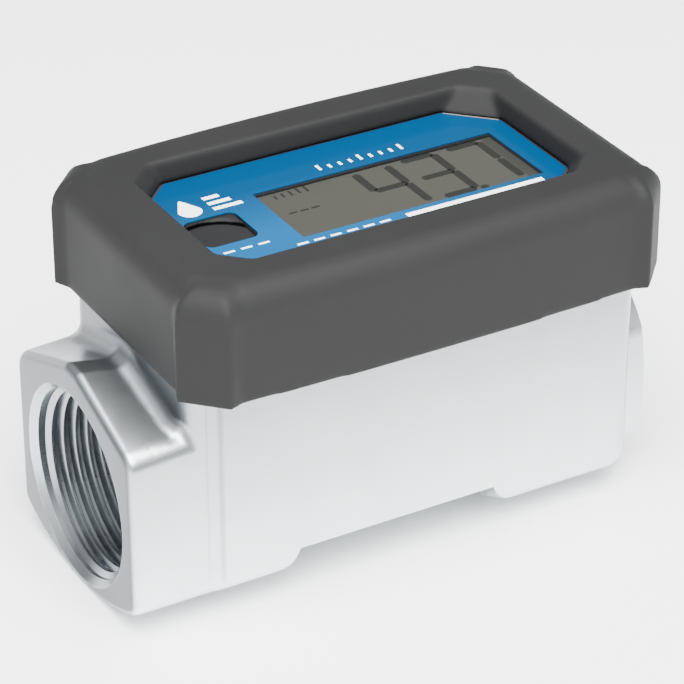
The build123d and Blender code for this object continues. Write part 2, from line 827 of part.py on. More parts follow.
with BuildPart() as coil_core:
    with BuildSketch(Plane.XY.offset(coil_pocket_floor)):
        Circle(coil_core_radius)
    extrude(amount=coil_length)
save(coil_core, "coil_core")

with BuildPart() as coil_pins:
    with BuildSketch(Plane.XY.offset(coil_top - coil_flange_thickness)):
        with GridLocations(pin_spacing, 0, 2, 1):
            Circle(pin_radius)
    extrude(amount=board_top + chip_height - coil_top + coil_flange_thickness)
save(coil_pins, "coil_pins")

# Display key with a dished top, a flange under the face plate and a stem over the snap dome
with BuildPart() as display_button:
    key_top = face_top - button_below_face
    flange_top = plate_bottom - button_rest_gap
    flange_bottom = flange_top - button_flange_thickness
    with BuildSketch(Plane.XY.offset(flange_bottom)):
        with Locations((button_x, button_y)):
            RectangleRounded(button_size, button_size, button_corner)
    extrude(amount=key_top - flange_bottom)
    with Locations((button_x, button_y, key_top + button_dish_radius - button_dish_depth)):
        Sphere(button_dish_radius, mode=Mode.SUBTRACT)
    with BuildSketch(Plane.XY.offset(flange_bottom)):
        with Locations((button_x, button_y)):
            flange_size = button_size + 2 * button_flange
            RectangleRounded(flange_size, flange_size, button_corner + button_flange)
    extrude(amount=button_flange_thickness)
    with BuildSketch(Plane.XY.offset(flange_bottom)):
        with Locations((button_x, button_y)):
            Circle(button_stem_radius)
    extrude(amount=board_top + dome_height + fit_gap - flange_bottom)
save(display_button, "display_button")

with BuildPart() as button_dome:
    crown_radius = (dome_radius**2 + dome_height**2) / (2 * dome_height)
    with Locations((button_x, button_y, board_top + dome_height - crown_radius)):
        Sphere(crown_radius)
        Sphere(crown_radius - dome_thickness, mode=Mode.SUBTRACT)
    split(bisect_by=Plane.XY.offset(board_top), keep=Keep.TOP)
save(button_dome, "button_dome")
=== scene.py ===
import bpy
import bmesh
import json
import math
from mathutils import Matrix, Vector

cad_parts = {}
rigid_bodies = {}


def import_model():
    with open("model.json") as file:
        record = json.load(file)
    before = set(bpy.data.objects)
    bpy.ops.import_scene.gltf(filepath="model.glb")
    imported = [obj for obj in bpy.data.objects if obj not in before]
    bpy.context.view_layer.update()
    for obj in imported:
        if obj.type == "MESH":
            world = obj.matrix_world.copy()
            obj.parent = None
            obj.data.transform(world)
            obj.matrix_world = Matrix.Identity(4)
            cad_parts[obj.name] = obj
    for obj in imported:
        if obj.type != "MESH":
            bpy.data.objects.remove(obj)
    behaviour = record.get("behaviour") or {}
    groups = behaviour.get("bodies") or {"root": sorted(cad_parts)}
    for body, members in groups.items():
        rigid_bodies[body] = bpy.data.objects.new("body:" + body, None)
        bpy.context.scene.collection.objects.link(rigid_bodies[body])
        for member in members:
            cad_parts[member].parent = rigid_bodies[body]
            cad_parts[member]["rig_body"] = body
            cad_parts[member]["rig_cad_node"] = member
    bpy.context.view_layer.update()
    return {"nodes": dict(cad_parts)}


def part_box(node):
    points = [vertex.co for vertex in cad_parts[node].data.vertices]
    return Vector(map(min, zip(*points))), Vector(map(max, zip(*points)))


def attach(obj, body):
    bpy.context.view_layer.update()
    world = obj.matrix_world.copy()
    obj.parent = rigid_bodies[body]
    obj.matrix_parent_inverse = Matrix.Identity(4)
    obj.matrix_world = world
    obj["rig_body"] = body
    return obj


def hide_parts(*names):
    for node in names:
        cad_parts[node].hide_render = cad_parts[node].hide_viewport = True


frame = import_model()
cadNodes = frame["nodes"]
# sizes are written in millimetres and made metres by this
mm = 0.001
print("frame loaded:", len(cadNodes), "nodes")


# small helpers for modelling

def clearSelection():
    if bpy.context.mode != "OBJECT":
        bpy.ops.object.mode_set(mode="OBJECT")
    bpy.ops.object.select_all(action="DESELECT")


def pick(piece):
    clearSelection()
    piece.select_set(True)
    bpy.context.view_layer.objects.active = piece


def editPick(piece, test):
    # edit mode with only the vertices that pass the test selected
    pick(piece)
    bpy.ops.object.mode_set(mode="EDIT")
    bpy.ops.mesh.select_mode(type="VERT")
    bpy.ops.mesh.select_all(action="DESELECT")
    mesh = bmesh.from_edit_mesh(piece.data)
    for vert in mesh.verts:
        vert.select = test(vert.co)
    mesh.select_flush(True)
    bmesh.update_edit_mesh(piece.data)


def editAll(piece):
    editPick(piece, lambda co: True)


def leaveEdit():
    bpy.ops.object.mode_set(mode="OBJECT")


def applyAll(piece):
    pick(piece)
    for modifier in list(piece.modifiers):
        bpy.ops.object.modifier_apply(modifier=modifier.name)


def settle(piece):
    # the place goes into the mesh, as in a CAD node
    pick(piece)
    bpy.ops.object.transform_apply(location=True, rotation=True, scale=True)


def rename(piece, name):
    piece.name = name
    piece.data.name = name


def ownCopy(piece):
    # a copy with its own mesh
    twin = piece.copy()
    twin.data = piece.data.copy()
    bpy.context.scene.collection.objects.link(twin)
    return twin


def copyAt(piece, x, y):
    # a copy moved by so many millimetres
    twin = ownCopy(piece)
    twin.location = (x * mm, y * mm, 0)
    settle(twin)
    return twin


def joined(pieces, name):
    clearSelection()
    for piece in pieces:
        piece.select_set(True)
    bpy.context.view_layer.objects.active = pieces[0]
    bpy.ops.object.join()
    rename(pieces[0], name)
    return pieces[0]


def outwards(piece):
    editAll(piece)
    bpy.ops.mesh.remove_doubles(threshold=0.001 * mm)
    bpy.ops.mesh.normals_make_consistent(inside=False)
    leaveEdit()


def thicken(piece, thick):
    # a flat piece is pulled up into a thin slab
    editAll(piece)
    bpy.ops.mesh.extrude_region_move(TRANSFORM_OT_translate={"value": (0, 0, thick * mm)})
    leaveEdit()


def softShade(piece, degrees):
    pick(piece)
    bpy.ops.object.shade_smooth_by_angle(angle=math.radians(degrees))


def ramp(value, start, end):
    # from 0 at the start to 1 at the end
    return min(1.0, max(0.0, (value - start) / (end - start)))


def finished(piece, body, material):
    settle(piece)
    piece.data.materials.clear()
    piece.data.materials.append(material)
    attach(piece, body)
    return piece


def meshCopy(nodeName, name):
    # a CAD node's triangles are loose, so the copy is merged
    clearSelection()
    piece = ownCopy(cadNodes[nodeName])
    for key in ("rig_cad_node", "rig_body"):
        if key in piece:
            del piece[key]
    piece.parent = None
    rename(piece, name)
    editAll(piece)
    bpy.ops.mesh.remove_doubles(threshold=0.002 * mm)
    leaveEdit()
    pick(piece)
    if piece.data.has_custom_normals:
        bpy.ops.mesh.customdata_custom_splitnormals_clear()
    return piece


# materials

def linear(code):
    # sRGB hex to the linear colour that the shader takes
    parts = [int(code[i:i + 2], 16) / 255 for i in (1, 3, 5)]
    return [p / 12.92 if p <= 0.04045 else ((p + 0.055) / 1.055) ** 2.4 for p in parts] + [1.0]


def newMaterial(name):
    material = bpy.data.materials.new(name)
    material.use_nodes = True
    material.node_tree.nodes.clear()
    return material


def addNode(material, kind, settings, links):
    node = material.node_tree.nodes.new(kind)
    for key, value in settings.items():
        if isinstance(key, int) or key in node.inputs:
            node.inputs[key].default_value = value
        else:
            setattr(node, key, value)
    for key, source in links.items():
        material.node_tree.links.new(source, node.inputs[key])
    return node


def perMetre(sizeMm):
    # a noise's scale, from the size of its grain in millimetres
    return 1000 / sizeMm


def edgeWearAndHighlight(material, edgeMm, amount, patches):
    # a rounded normal leaves the true one only along an edge, where the colour turns to the worn tone as
    # wear and as a painted edge highlight, and the patches break it up
    rounded = addNode(material, "ShaderNodeBevel", {"samples": 4, "Radius": edgeMm * mm}, {})
    surface = addNode(material, "ShaderNodeNewGeometry", {}, {})
    along = addNode(material, "ShaderNodeVectorMath", {"operation": "DOT_PRODUCT"},
                    {0: rounded.outputs["Normal"], 1: surface.outputs["Normal"]})
    edge = addNode(material, "ShaderNodeMapRange", {"From Min": 0.99, "From Max": 0.85, "To Max": amount},
                   {"Value": along.outputs["Value"]})
    broken = addNode(material, "ShaderNodeMapRange", {"From Min": 0.35, "From Max": 0.6},
                     {"Value": patches.outputs["Fac"]})
    return addNode(material, "ShaderNodeMath", {"operation": "MULTIPLY"},
                   {0: edge.outputs["Result"], 1: broken.outputs["Result"]})


# what a finish has where it names nothing else
commonLook = {"mottleMm": 12, "edgeMm": 0.25, "wearAndHighlight": 0.5, "depthMm": 0.02, "metallic": 0.0}


def makeFinish(name, ownLook):
    # one surface: slow mottling, fine grain, worn edges brightened as wear and as a painted highlight, and
    # a roughness that follows both
    look = {**commonLook, "wornAndLit": ownLook["light"], **ownLook}
    material = newMaterial(name)
    place = addNode(material, "ShaderNodeTexCoord", {}, {})
    grain = addNode(material, "ShaderNodeTexNoise",
                    {"Scale": perMetre(look["grainMm"]), "Detail": 3.0, "Roughness": 0.55},
                    {"Vector": place.outputs["Object"]})
    mottle = addNode(material, "ShaderNodeTexNoise", {"Scale": perMetre(look["mottleMm"]), "Detail": 2.0},
                     {"Vector": place.outputs["Object"]})
    patches = addNode(material, "ShaderNodeTexNoise",
                      {"Scale": perMetre(look["mottleMm"] / 4), "Detail": 2.0},
                      {"Vector": place.outputs["Object"]})
    colour = addNode(material, "ShaderNodeMix",
                     {"data_type": "RGBA", 6: linear(look["dark"]), 7: linear(look["light"])},
                     {0: mottle.outputs["Fac"]})
    rough = addNode(material, "ShaderNodeMapRange",
                    {"To Min": look["roughLow"], "To Max": look["roughHigh"]},
                    {"Value": mottle.outputs["Fac"]})
    # worn edges, partly a painted edge highlight
    wearAndHighlight = edgeWearAndHighlight(material, look["edgeMm"], look["wearAndHighlight"], patches)
    wornAndLit = addNode(material, "ShaderNodeMix", {"data_type": "RGBA", 7: linear(look["wornAndLit"])},
                   {0: wearAndHighlight.outputs["Value"], 6: colour.outputs[2]})
    rubbed = addNode(material, "ShaderNodeMix", {"data_type": "FLOAT", 3: look["roughLow"] * 0.8},
                     {0: wearAndHighlight.outputs["Value"], 2: rough.outputs["Result"]})
    bump = addNode(material, "ShaderNodeBump", {"Strength": look["bump"], "Distance": look["depthMm"] * mm},
                   {"Height": grain.outputs["Fac"]})
    shader = addNode(material, "ShaderNodeBsdfPrincipled", {"Metallic": look["metallic"]},
                     {"Base Color": wornAndLit.outputs[2], "Roughness": rubbed.outputs[0],
                      "Normal": bump.outputs["Normal"]})
    if "recessShadow" in look:
        # the piece's own recess value marks the folds that get a painted shadow: near black and without
        # gloss
        foldShadow = addNode(material, "ShaderNodeAttribute", {"attribute_name": "recessShadow"}, {})
        shadow = addNode(material, "ShaderNodeMix", {"data_type": "RGBA", 7: linear(look["recessShadow"])},
                         {0: foldShadow.outputs["Fac"], 6: wornAndLit.outputs[2]})
        matt = addNode(material, "ShaderNodeMapRange", {"To Min": look["gloss"], "To Max": 0.0},
                       {"Value": foldShadow.outputs["Fac"]})
        material.node_tree.links.new(shadow.outputs[2], shader.inputs["Base Color"])
        material.node_tree.links.new(matt.outputs["Result"], shader.inputs["Specular IOR Level"])
    if "ior" in look:
        shader.inputs["IOR"].default_value = look["ior"]
    if "specular" in look:
        shader.inputs["Specular IOR Level"].default_value = look["specular"]
    addNode(material, "ShaderNodeOutputMaterial", {}, {"Surface": shader.outputs["BSDF"]})
    return material


# cast aluminium with painted reflection and shade by face direction: bright on the long sides, greyer on
# its roofs and darkest on its ends, ends and roofs also rougher; soft blurred reflections, fine turned
# rings on the port faces and bright rubbed edges with a painted highlight
castLook = {
    "side": "#B8BDBF", "roof": "#ABAFB1", "end": "#54585B", "wornAndLit": "#F0F2F3",
    "roughSide": 0.2, "roughAway": 0.31, "roughLess": -0.04, "roughMore": 0.05,
    "acrossShare": 0.8, "upShare": -0.6, "sideFrom": 0.05, "sideTo": 0.9, "endFrom": 0.6, "endTo": 0.97,
    "turnedFrom": 0.94, "turnedTo": 0.98, "ringMm": 0.3, "ringWander": 0.4,
    "mottleMm": 11, "mottleDark": 0.88, "mottleLight": 1.08, "grainMm": 0.4, "bump": 0.1, "depthMm": 0.02,
    "lowZ": -17, "lowReflectTone": 1.55, "highZ": 20, "highShadeTone": 0.62,
    "lineX": -37.0, "lineHalfMm": 0.16, "lineShare": 0.45, "bandX": -34.7, "bandHalfMm": 0.9,
    "blendShadeFromZ": -14, "blendShadeToZ": -8, "blendShadeFull": 1.5, "blendShadeTone": 0.5,
    "edgeMm": 0.45, "wearAndHighlight": 0.7}


def castFinish(name, look):
    material = newMaterial(name)
    place = addNode(material, "ShaderNodeTexCoord", {}, {})
    axes = addNode(material, "ShaderNodeSeparateXYZ", {}, {"Vector": place.outputs["Object"]})
    # how far a face looks to the long sides, and how far to the ends: this sets the painted reflection and
    # shade
    turn = addNode(material, "ShaderNodeSeparateXYZ", {}, {"Vector": place.outputs["Normal"]})
    across = addNode(material, "ShaderNodeMath", {"operation": "ABSOLUTE"}, {0: turn.outputs["Y"]})
    down = addNode(material, "ShaderNodeMath", {"operation": "MULTIPLY", 1: look["upShare"]},
                   {0: turn.outputs["Z"]})
    level = addNode(material, "ShaderNodeMath", {"operation": "MULTIPLY_ADD", 1: look["acrossShare"]},
                    {0: across.outputs["Value"], 2: down.outputs["Value"]})
    side = addNode(material, "ShaderNodeMapRange",
                   {"interpolation_type": "SMOOTHSTEP",
                    "From Min": look["sideFrom"], "From Max": look["sideTo"]},
                   {"Value": level.outputs["Value"]})
    along = addNode(material, "ShaderNodeMath", {"operation": "ABSOLUTE"}, {0: turn.outputs["X"]})
    end = addNode(material, "ShaderNodeMapRange",
                  {"interpolation_type": "SMOOTHSTEP",
                   "From Min": look["endFrom"], "From Max": look["endTo"]},
                  {"Value": along.outputs["Value"]})
    turned = addNode(material, "ShaderNodeMapRange",
                     {"From Min": look["turnedFrom"], "From Max": look["turnedTo"]},
                     {"Value": along.outputs["Value"]})
    mottle = addNode(material, "ShaderNodeTexNoise", {"Scale": perMetre(look["mottleMm"]), "Detail": 3.0},
                     {"Vector": place.outputs["Object"]})
    patches = addNode(material, "ShaderNodeTexNoise",
                      {"Scale": perMetre(look["mottleMm"] / 4), "Detail": 2.0},
                      {"Vector": place.outputs["Object"]})
    grain = addNode(material, "ShaderNodeTexNoise",
                    {"Scale": perMetre(look["grainMm"]), "Detail": 3.0, "Roughness": 0.6},
                    {"Vector": place.outputs["Object"]})
    # a wave texture repeats every tau / 20 of its scaled length
    rings = addNode(material, "ShaderNodeTexWave",
                    {"wave_type": "RINGS", "rings_direction": "X", "Distortion": look["ringWander"],
                     "Scale": math.tau / 20 / (look["ringMm"] * mm)},
                    {"Vector": place.outputs["Object"]})
    # painted reflection and shade by face direction: the roofs grey, the ends dark, the long sides bright
    away = addNode(material, "ShaderNodeMix",
                   {"data_type": "RGBA", 6: linear(look["roof"]), 7: linear(look["end"])},
                   {0: end.outputs["Result"]})
    tone = addNode(material, "ShaderNodeMix", {"data_type": "RGBA", 7: linear(look["side"])},
                   {0: side.outputs["Result"], 6: away.outputs[2]})
    # slow unevenness, and on the walls a painted reflection that brightens them towards the feet and a
    # painted shade that darkens them towards the boot
    shift = addNode(material, "ShaderNodeMapRange",
                    {"To Min": look["mottleDark"], "To Max": look["mottleLight"]},
                    {"Value": mottle.outputs["Fac"]})
    heightLight = addNode(material, "ShaderNodeMapRange",
                   {"From Min": look["lowZ"] * mm, "From Max": look["highZ"] * mm,
                    "To Min": look["lowReflectTone"], "To Max": look["highShadeTone"]},
                   {"Value": axes.outputs["Z"]})
    wallHeightLight = addNode(material, "ShaderNodeMix", {"data_type": "FLOAT", 2: 1.0},
                   {0: side.outputs["Result"], 3: heightLight.outputs["Result"]})
    mottleAndHeightLight = addNode(material, "ShaderNodeMath", {"operation": "MULTIPLY"},
                     {0: shift.outputs["Result"], 1: wallHeightLight.outputs[0]})
    mottledAndHeightLit = addNode(material, "ShaderNodeVectorMath", {"operation": "SCALE"},
                     {0: tone.outputs[2], "Scale": mottleAndHeightLight.outputs["Value"]})
    # painted shade where the blend fillets beside the inlet flange turn: a thin darker line and a broad
    # faint darker band on the walls
    line = addNode(material, "ShaderNodeMath",
                   {"operation": "COMPARE", 1: look["lineX"] * mm, 2: look["lineHalfMm"] * mm},
                   {0: axes.outputs["X"]})
    fromBand = addNode(material, "ShaderNodeMath", {"operation": "SUBTRACT", 1: look["bandX"] * mm},
                       {0: axes.outputs["X"]})
    offBand = addNode(material, "ShaderNodeMath", {"operation": "ABSOLUTE"}, {0: fromBand.outputs["Value"]})
    band = addNode(material, "ShaderNodeMapRange",
                   {"interpolation_type": "SMOOTHSTEP",
                    "From Min": look["bandHalfMm"] * mm, "From Max": 0.0},
                   {"Value": offBand.outputs["Value"]})
    lineAndBand = addNode(material, "ShaderNodeMath", {"operation": "MULTIPLY_ADD", 1: look["lineShare"]},
                          {0: line.outputs["Value"], 2: band.outputs["Result"]})
    blendShadeHeight = addNode(material, "ShaderNodeMapRange",
                         {"From Min": look["blendShadeFromZ"] * mm, "From Max": look["blendShadeToZ"] * mm},
                         {"Value": axes.outputs["Z"]})
    shown = addNode(material, "ShaderNodeMath", {"operation": "MULTIPLY"},
                    {0: lineAndBand.outputs["Value"], 1: blendShadeHeight.outputs["Result"]})
    dim = addNode(material, "ShaderNodeMapRange",
                  {"From Max": look["blendShadeFull"], "To Min": 1.0, "To Max": look["blendShadeTone"]},
                  {"Value": shown.outputs["Value"]})
    blendShaded = addNode(material, "ShaderNodeVectorMath", {"operation": "SCALE"},
                     {0: mottledAndHeightLit.outputs["Vector"], "Scale": dim.outputs["Result"]})
    # rubbed edges, brightened partly as a painted highlight
    wearAndHighlight = edgeWearAndHighlight(material, look["edgeMm"], look["wearAndHighlight"], patches)
    colour = addNode(material, "ShaderNodeMix", {"data_type": "RGBA", 7: linear(look["wornAndLit"])},
                     {0: wearAndHighlight.outputs["Value"], 6: blendShaded.outputs["Vector"]})
    rough = addNode(material, "ShaderNodeMapRange",
                    {"To Min": look["roughAway"], "To Max": look["roughSide"]},
                    {"Value": side.outputs["Result"]})
    roughShift = addNode(material, "ShaderNodeMapRange",
                         {"To Min": look["roughLess"], "To Max": look["roughMore"]},
                         {"Value": mottle.outputs["Fac"]})
    roughness = addNode(material, "ShaderNodeMath", {"operation": "ADD"},
                        {0: rough.outputs["Result"], 1: roughShift.outputs["Result"]})
    ringHeight = addNode(material, "ShaderNodeMath", {"operation": "MULTIPLY"},
                         {0: rings.outputs["Fac"], 1: turned.outputs["Result"]})
    height = addNode(material, "ShaderNodeMath", {"operation": "ADD"},
                     {0: ringHeight.outputs["Value"], 1: grain.outputs["Fac"]})
    bump = addNode(material, "ShaderNodeBump", {"Strength": look["bump"], "Distance": look["depthMm"] * mm},
                   {"Height": height.outputs["Value"]})
    shader = addNode(material, "ShaderNodeBsdfPrincipled", {"Metallic": 1.0},
                     {"Base Color": colour.outputs[2], "Roughness": roughness.outputs["Value"],
                      "Normal": bump.outputs["Normal"]})
    addNode(material, "ShaderNodeOutputMaterial", {}, {"Surface": shader.outputs["BSDF"]})
    return material


castAluminium = castFinish("castAluminium", castLook)
# aluminium cut by a thread tap: a tighter shine than the casting, in a darker tone that is painted shade
# keeping the grooves dark
cutAluminium = makeFinish("cutAluminium", {
    "dark": "#8C9296", "light": "#A2A8AB", "metallic": 1.0, "roughLow": 0.2, "roughHigh": 0.3,
    "grainMm": 0.2, "bump": 0.1})
# moulded thermoplastic elastomer with a spark-eroded skin: dark grey, with a broad weak sheen and paler
# rubbed edges that also carry a painted highlight
bootElastomer = makeFinish("bootElastomer", {
    "dark": "#1A1A1A", "light": "#1E1E1E", "wornAndLit": "#2C2C2C", "roughLow": 0.58, "roughHigh": 0.68,
    "ior": 1.5, "specular": 0.12, "grainMm": 0.25, "bump": 0.12, "mottleMm": 20, "wearAndHighlight": 0.35,
    "edgeMm": 0.5})
# moulded silicone rubber: matt dark grey, with a painted black shadow in the crescent where the key's dish
# drops away
keySilicone = makeFinish("keySilicone", {
    "dark": "#161617", "light": "#1A1A1B", "wornAndLit": "#222223", "roughLow": 0.4, "roughHigh": 0.5,
    "ior": 1.43, "grainMm": 0.3, "bump": 0.05, "wearAndHighlight": 0.2, "recessShadow": "#030303", "gloss": 0.25})
# moulded glass-filled nylon: black, with a dull sheen and a faint fibre grain
blackNylon = makeFinish("blackNylon", {
    "dark": "#161618", "light": "#1E1E20", "roughLow": 0.45, "roughHigh": 0.6, "ior": 1.53,
    "grainMm": 0.4, "bump": 0.1})
# laminated polariser film over the liquid crystal: grey green and nearly matt
polariserFilm = makeFinish("polariserFilm", {
    "dark": "#31312C", "light": "#34342F", "roughLow": 0.3, "roughHigh": 0.4, "ior": 1.5,
    "grainMm": 0.5, "bump": 0.01, "mottleMm": 16})
# the same film where no reflector lies under it: a darker strip of the same grey green
polariserEdge = makeFinish("polariserEdge", {
    "dark": "#252521", "light": "#292925", "roughLow": 0.3, "roughHigh": 0.4, "ior": 1.5,
    "grainMm": 0.5, "bump": 0.01})
# liquid crystal switched dark between its films: near black bars without a shine of their own
liquidCrystal = makeFinish("liquidCrystal", {
    "dark": "#151613", "light": "#191A16", "roughLow": 0.35, "roughHigh": 0.45, "ior": 1.5,
    "grainMm": 0.5, "bump": 0.01})
# screen-printed white ink: opaque, a little cool, with a satin surface
printWhite = makeFinish("printWhite", {
    "dark": "#E6EAEC", "light": "#F2F4F5", "roughLow": 0.35, "roughHigh": 0.45, "ior": 1.5,
    "grainMm": 0.4, "bump": 0.02})
# matt near-black: a painted shadow that stands for the shade the window's recess throws on the picture
shadowBlack = makeFinish("shadowBlack", {
    "dark": "#050505", "light": "#080808", "roughLow": 0.7, "roughHigh": 0.8, "ior": 1.5, "specular": 0.1,
    "grainMm": 0.4, "bump": 0.02})
# die-cut paper at the label's edge: a thin warm grey line with no gloss
labelPaper = makeFinish("labelPaper", {
    "dark": "#5C5650", "light": "#66605A", "roughLow": 0.55, "roughHigh": 0.7, "ior": 1.5,
    "grainMm": 0.3, "bump": 0.03})
# moulded natural acetal: off-white with a soft waxy gloss
acetalWhite = makeFinish("acetalWhite", {
    "dark": "#D8D6CC", "light": "#E2E0D8", "roughLow": 0.3, "roughHigh": 0.42, "ior": 1.48,
    "grainMm": 0.5, "bump": 0.04})
# moulded black acetal: the same waxy gloss on a dark body
acetalBlack = makeFinish("acetalBlack", {
    "dark": "#1A1A1C", "light": "#232326", "roughLow": 0.3, "roughHigh": 0.42, "ior": 1.48,
    "grainMm": 0.5, "bump": 0.04})
# pressed carbon graphite: charcoal with a fine grain and a faint shine
bearingCarbon = makeFinish("bearingCarbon", {
    "dark": "#242426", "light": "#2C2C2F", "roughLow": 0.35, "roughHigh": 0.5, "ior": 2.0,
    "grainMm": 0.15, "bump": 0.1})
# rolled spring steel strip: mid grey with smooth blurred reflections
springSteel = makeFinish("springSteel", {
    "dark": "#8A8C8E", "light": "#9A9C9E", "metallic": 1.0, "roughLow": 0.25, "roughHigh": 0.38,
    "grainMm": 0.3, "bump": 0.06})
# ground stainless steel: bright, with tight reflections
groundSteel = makeFinish("groundSteel", {
    "dark": "#B4B6B8", "light": "#C2C4C6", "metallic": 1.0, "roughLow": 0.12, "roughHigh": 0.2,
    "grainMm": 0.1, "bump": 0.05})
# nickel plate: a warm silver that mirrors clearly
nickelPlate = makeFinish("nickelPlate", {
    "dark": "#BDB8AE", "light": "#C9C4BA", "metallic": 1.0, "roughLow": 0.14, "roughHigh": 0.22,
    "grainMm": 0.3, "bump": 0.03})
# zinc-plated steel: bluish silver, slightly cloudy
zincPlate = makeFinish("zincPlate", {
    "dark": "#A8ADB4", "light": "#BDC2C8", "metallic": 1.0, "roughLow": 0.28, "roughHigh": 0.42,
    "grainMm": 0.4, "bump": 0.06})
# moulded nitrile rubber: deep black and matt
nitrileRubber = makeFinish("nitrileRubber", {
    "dark": "#141414", "light": "#1B1B1B", "roughLow": 0.5, "roughHigh": 0.65, "ior": 1.52,
    "grainMm": 0.3, "bump": 0.08})
# sliced silicone connector strip: brick red and matt
siliconeStrip = makeFinish("siliconeStrip", {
    "dark": "#B84A3A", "light": "#C65A48", "roughLow": 0.45, "roughHigh": 0.6, "ior": 1.43,
    "grainMm": 0.3, "bump": 0.08})
# pressed glass-epoxy board under solder mask: deep green with a clear gloss and a faint weave
boardLaminate = makeFinish("boardLaminate", {
    "dark": "#0E4A26", "light": "#15592F", "roughLow": 0.3, "roughHigh": 0.4, "ior": 1.55,
    "grainMm": 0.6, "bump": 0.06})
# moulded epoxy of a chip's body: dark grey and matt
chipEpoxy = makeFinish("chipEpoxy", {
    "dark": "#1C1C1E", "light": "#242427", "roughLow": 0.5, "roughHigh": 0.6, "ior": 1.56,
    "grainMm": 0.2, "bump": 0.1})
# wound enamelled copper wire: reddish brown metal, ribbed by its fine turns
enamelledCopper = makeFinish("enamelledCopper", {
    "dark": "#9C4E22", "light": "#B4622E", "metallic": 1.0, "roughLow": 0.25, "roughHigh": 0.35,
    "grainMm": 0.15, "bump": 0.3})
# annealed soft iron: a dull grey metal
softIron = makeFinish("softIron", {
    "dark": "#6E6E70", "light": "#7C7C7E", "metallic": 1.0, "roughLow": 0.35, "roughHigh": 0.5,
    "grainMm": 0.3, "bump": 0.06})
# tin-dipped brass pins: pale silver, softly shining
tinnedPin = makeFinish("tinnedPin", {
    "dark": "#C8C8C6", "light": "#D6D6D4", "metallic": 1.0, "roughLow": 0.2, "roughHigh": 0.3,
    "grainMm": 0.3, "bump": 0.04})

# screen-printed polycarbonate label: deep blue ink under a satin film, with painted shading that turns it
# paler towards the front left
filmLook = {
    "deep": "#003052", "pale": "#00446C", "roughLow": 0.3, "roughHigh": 0.38, "ior": 1.58, "specular": 0.1,
    "coat": 0.4, "coatRough": 0.07, "grainMm": 0.5, "bump": 0.03, "depthMm": 0.01,
    "deepY": 9, "paleY": -6, "deepX": 34, "paleX": 4}
labelFilm = newMaterial("labelFilm")
filmPlace = addNode(labelFilm, "ShaderNodeTexCoord", {}, {})
filmAxes = addNode(labelFilm, "ShaderNodeSeparateXYZ", {}, {"Vector": filmPlace.outputs["Object"]})
# painted shading: deeper towards the far side and the right, paler towards the front left
filmDown = addNode(labelFilm, "ShaderNodeMapRange",
                   {"From Min": filmLook["deepY"] * mm, "From Max": filmLook["paleY"] * mm},
                   {"Value": filmAxes.outputs["Y"]})
filmLeft = addNode(labelFilm, "ShaderNodeMapRange",
                   {"From Min": filmLook["deepX"] * mm, "From Max": filmLook["paleX"] * mm},
                   {"Value": filmAxes.outputs["X"]})
filmPaintedShading = addNode(labelFilm, "ShaderNodeMath", {"operation": "MULTIPLY"},
                   {0: filmDown.outputs["Result"], 1: filmLeft.outputs["Result"]})
filmTone = addNode(labelFilm, "ShaderNodeMix",
                   {"data_type": "RGBA", 6: linear(filmLook["deep"]), 7: linear(filmLook["pale"])},
                   {0: filmPaintedShading.outputs["Value"]})
filmGrain = addNode(labelFilm, "ShaderNodeTexNoise",
                    {"Scale": perMetre(filmLook["grainMm"]), "Detail": 2.0},
                    {"Vector": filmPlace.outputs["Object"]})
filmRough = addNode(labelFilm, "ShaderNodeMapRange",
                    {"To Min": filmLook["roughLow"], "To Max": filmLook["roughHigh"]},
                    {"Value": filmGrain.outputs["Fac"]})
filmBump = addNode(labelFilm, "ShaderNodeBump",
                   {"Strength": filmLook["bump"], "Distance": filmLook["depthMm"] * mm},
                   {"Height": filmGrain.outputs["Fac"]})
filmShader = addNode(labelFilm, "ShaderNodeBsdfPrincipled",
                     {"IOR": filmLook["ior"], "Specular IOR Level": filmLook["specular"],
                      "Coat Weight": filmLook["coat"], "Coat Roughness": filmLook["coatRough"]},
                     {"Base Color": filmTone.outputs[2], "Roughness": filmRough.outputs["Result"],
                      "Normal": filmBump.outputs["Normal"]})
addNode(labelFilm, "ShaderNodeOutputMaterial", {}, {"Surface": filmShader.outputs["BSDF"]})

# moulded clear acrylic: almost nothing but its gloss shows, so its own colour is near black and very thin
acrylicLook = {"tint": "#0C0D0D", "alpha": 0.08, "ior": 1.49, "roughLow": 0.06, "roughHigh": 0.12,
               "mottleMm": 8}
clearAcrylic = newMaterial("clearAcrylic")
windowPlace = addNode(clearAcrylic, "ShaderNodeTexCoord", {}, {})
windowNoise = addNode(clearAcrylic, "ShaderNodeTexNoise",
                      {"Scale": perMetre(acrylicLook["mottleMm"]), "Detail": 1.0},
                      {"Vector": windowPlace.outputs["Object"]})
windowRough = addNode(clearAcrylic, "ShaderNodeMapRange",
                      {"To Min": acrylicLook["roughLow"], "To Max": acrylicLook["roughHigh"]},
                      {"Value": windowNoise.outputs["Fac"]})
windowShader = addNode(clearAcrylic, "ShaderNodeBsdfPrincipled",
                       {"Base Color": linear(acrylicLook["tint"]), "IOR": acrylicLook["ior"],
                        "Alpha": acrylicLook["alpha"]},
                       {"Roughness": windowRough.outputs["Result"]})
addNode(clearAcrylic, "ShaderNodeOutputMaterial", {}, {"Surface": windowShader.outputs["BSDF"]})

